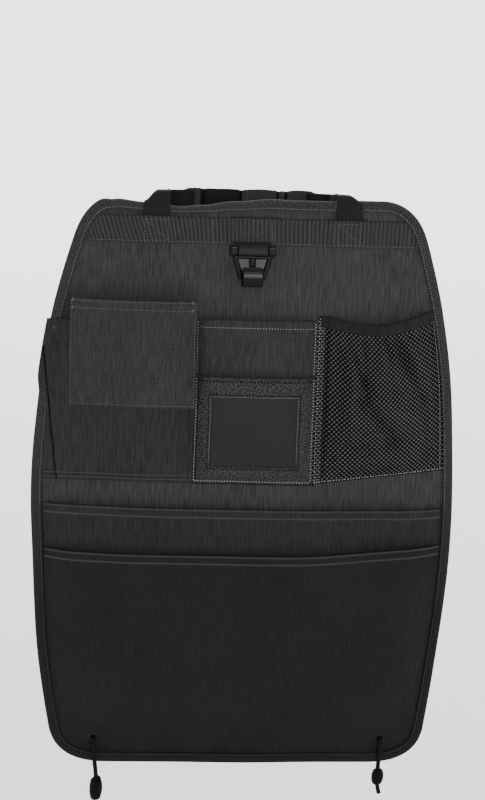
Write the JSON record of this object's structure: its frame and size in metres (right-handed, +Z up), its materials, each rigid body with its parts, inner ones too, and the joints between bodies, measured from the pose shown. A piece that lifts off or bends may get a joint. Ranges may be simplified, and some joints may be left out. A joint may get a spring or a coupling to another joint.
{
  "type": "car seat back organizer",
  "caption": "Cloth panel with sewn pockets, a mesh pocket, a clear window pocket and a swinging bag hook, hung from headrest posts.",
  "frame": {"origin": "Where the organizer hangs: midway between the two headrest posts, at the height where the straps bear on them. It can't rest on its base.", "axes": "+Z up, the front with the pockets faces -Y, +X to the right seen from the front"},
  "size_m": [0.467, 0.0797, 0.6874],
  "materials": {
    "ribbed_cloth": "matte ribbed polyester",
    "smooth_cloth": "matte plain weave",
    "dark_cloth": "matte plain weave",
    "tape": "twill tape",
    "webbing": "woven webbing",
    "mesh": "knitted mesh",
    "cord": "braided elastic",
    "clear_sheet": "clear flexible sheet",
    "hook_plastic": "moulded, satin",
    "eyelet_metal": "black lacquer"
  },
  "bodies": {
    "organizer": {"back_panel": "ribbed_cloth", "edge_binding": "tape", "top_facing": "smooth_cloth", "ribbed_band": "ribbed_cloth", "strap_left": "webbing", "strap_right": "webbing", "headrest_elastic": "tape", "hook_tab": "tape", "pleated_pocket": "ribbed_cloth", "patch_pocket": "smooth_cloth", "centre_pocket": "smooth_cloth", "window_frame": "tape", "clear_window": "clear_sheet", "mesh_wall": "mesh", "mesh_hem": "tape", "long_pocket": "ribbed_cloth", "main_pocket": "dark_cloth", "eyelet_left": "eyelet_metal", "eyelet_right": "eyelet_metal", "washer_left": "eyelet_metal", "washer_right": "eyelet_metal", "cord_span": "cord", "cord_left": "cord", "cord_right": "cord", "knot_left": "cord", "knot_right": "cord", "knot_tail": "cord"},
    "bag_hook": {"hook": "hook_plastic"}
  },
  "joints": [
    {"name": "hook_swing", "type": "hinge", "parent": "organizer", "child": "bag_hook", "pos_m": [0, -0.0545, -0.0465], "axis": [-1, 0, 0], "range_deg": [0, 110]}
  ]
}
